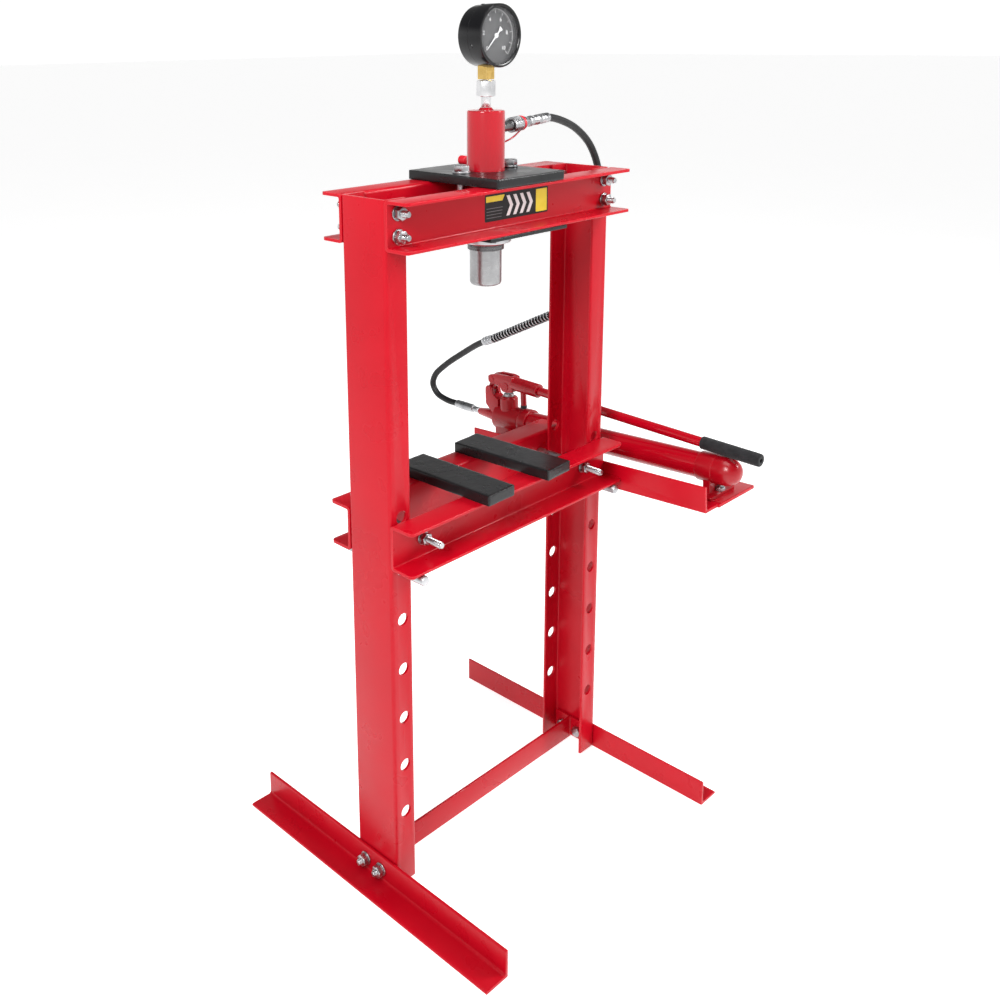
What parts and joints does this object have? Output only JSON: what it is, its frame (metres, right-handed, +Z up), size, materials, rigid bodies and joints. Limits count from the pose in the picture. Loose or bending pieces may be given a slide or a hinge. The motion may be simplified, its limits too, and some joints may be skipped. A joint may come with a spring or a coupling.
{
  "type": "hydraulic shop press",
  "caption": "Bolted steel H-frame shop press with a hydraulic ram, pressure gauge, pinned adjustable bed and side-mounted hand pump.",
  "frame": {"origin": "on the floor under the middle of the press's footprint, pump included and hose left out; the ram's axis stands 59 mm towards -X", "axes": "+Z up; +X along the beams towards the hand pump; -Y is the front, where the gauge faces and the pump handle's grip ends"},
  "size_m": [0.7786, 0.8463, 1.4969],
  "materials": {
    "red_paint": "glossy enamel",
    "black_paint": "satin",
    "zinc_plate": "bright zinc plate",
    "bright_steel": "ground and polished",
    "spring_wire": "oiled spring wire",
    "brass_block": "machined",
    "gauge_black": "glossy",
    "dial_face": "matt",
    "needle_white": "matt",
    "gauge_glass": "clear",
    "cap_rubber": "moulded",
    "hose_rubber": "satin",
    "grip_foam": "foam"
  },
  "bodies": {
    "frame": {"base_tie_bar": "red_paint", "bracket_bolt_1": "zinc_plate", "bracket_bolt_2": "zinc_plate", "coupler_dust_cap": "cap_rubber", "coupler_nipple": "bright_steel", "cylinder_barrel": "red_paint", "cylinder_lower_plate": "black_paint", "cylinder_ring_nut": "bright_steel", "cylinder_top_plate": "black_paint", "front_left_bolt_lower": "zinc_plate", "front_left_bolt_upper": "zinc_plate", "front_right_bolt_lower": "zinc_plate", "front_right_bolt_upper": "zinc_plate", "front_upper_beam": "red_paint", "gauge_adapter": "zinc_plate", "gauge_case": "gauge_black", "gauge_dial": "dial_face", "gauge_lens": "gauge_glass", "gauge_socket": "brass_block", "hose": "hose_rubber", "hose_end_ferrule": "zinc_plate", "hose_spring_guard": "spring_wire", "hose_top_fitting": "zinc_plate", "left_foot": "red_paint", "left_foot_bolt_1": "zinc_plate", "left_foot_bolt_2": "zinc_plate", "left_plate_bolt": "zinc_plate", "left_upright": "red_paint", "pump_bracket": "red_paint", "pump_end_cap": "red_paint", "pump_foot_bolt": "zinc_plate", "pump_head": "red_paint", "pump_reservoir": "red_paint", "ram_return_spring": "spring_wire", "rear_left_bolt_lower": "zinc_plate", "rear_left_bolt_upper": "zinc_plate", "rear_right_bolt_lower": "zinc_plate", "rear_right_bolt_upper": "zinc_plate", "rear_upper_beam": "red_paint", "right_foot": "red_paint", "right_foot_bolt_1": "zinc_plate", "right_foot_bolt_2": "zinc_plate", "right_plate_bolt": "zinc_plate", "right_upright": "red_paint"},
    "ram": {"ram": "bright_steel"},
    "needle": {"gauge_needle": "needle_white"},
    "collar": {"coupler_collar": "zinc_plate"},
    "bed": {"front_bed_beam": "red_paint", "rear_bed_beam": "red_paint", "left_bed_bolt": "zinc_plate", "right_bed_bolt": "zinc_plate"},
    "left_pin": {"left_bed_pin": "zinc_plate"},
    "right_pin": {"right_bed_pin": "zinc_plate"},
    "left_plate": {"left_press_plate": "black_paint"},
    "right_plate": {"right_press_plate": "black_paint"},
    "link": {"pump_link": "red_paint"},
    "handle": {"handle_socket": "red_paint", "handle_tube": "red_paint", "handle_grip": "grip_foam"},
    "plunger": {"pump_plunger": "bright_steel"}
  },
  "joints": [
    {"name": "ram_slide", "type": "slide", "parent": "frame", "child": "ram", "axis": [0, 0, -1], "range_m": [0, 0.14], "stiffness_N_per_m": 600, "springref_m": -0.08, "deforming": ["ram_return_spring"]},
    {"name": "needle_turn", "type": "hinge", "parent": "frame", "child": "needle", "pos_m": [-0.059, -0.023, 1.4456], "axis": [0, 1, 0], "range_deg": [0, 270], "stiffness_Nm_per_rad": 0.0008, "springref_deg": -17.19},
    {"name": "collar_turn", "type": "hinge", "parent": "frame", "child": "collar", "pos_m": [0.02628, 0.01023, 1.29486], "axis": [0.9917, 0.119, 0.0496], "continuous": true},
    {"name": "bed_lift", "type": "slide", "parent": "frame", "child": "bed", "axis": [0, 0, 1], "range_m": [0, 0.091]},
    {"name": "left_pin_pull", "type": "slide", "parent": "frame", "child": "left_pin", "axis": [0, -1, 0], "range_m": [0, 0.215]},
    {"name": "right_pin_pull", "type": "slide", "parent": "frame", "child": "right_pin", "axis": [0, -1, 0], "range_m": [0, 0.215]},
    {"name": "left_plate_slide", "type": "slide", "parent": "bed", "child": "left_plate", "axis": [1, 0, 0], "range_m": [-0.1, 0.03]},
    {"name": "right_plate_slide", "type": "slide", "parent": "bed", "child": "right_plate", "axis": [1, 0, 0], "range_m": [-0.03, 0.1]},
    {"name": "link_swing", "type": "hinge", "parent": "frame", "child": "link", "pos_m": [0.3073, 0.31247, 0.68299], "axis": [-1, 0, 0], "range_deg": [0, 3]},
    {"name": "handle_lift", "type": "hinge", "parent": "link", "child": "handle", "pos_m": [0.3073, 0.30396, 0.70596], "axis": [-1, 0, 0], "range_deg": [0, 35]},
    {"name": "plunger_stroke", "type": "slide", "parent": "frame", "child": "plunger", "axis": [0, 0.0523, 0.9986], "range_m": [0, 0.024]}
  ],
  "couplings": [
    {"joint": "plunger_stroke", "follows": "handle_lift", "m_per_rad": 0.0392}
  ]
}
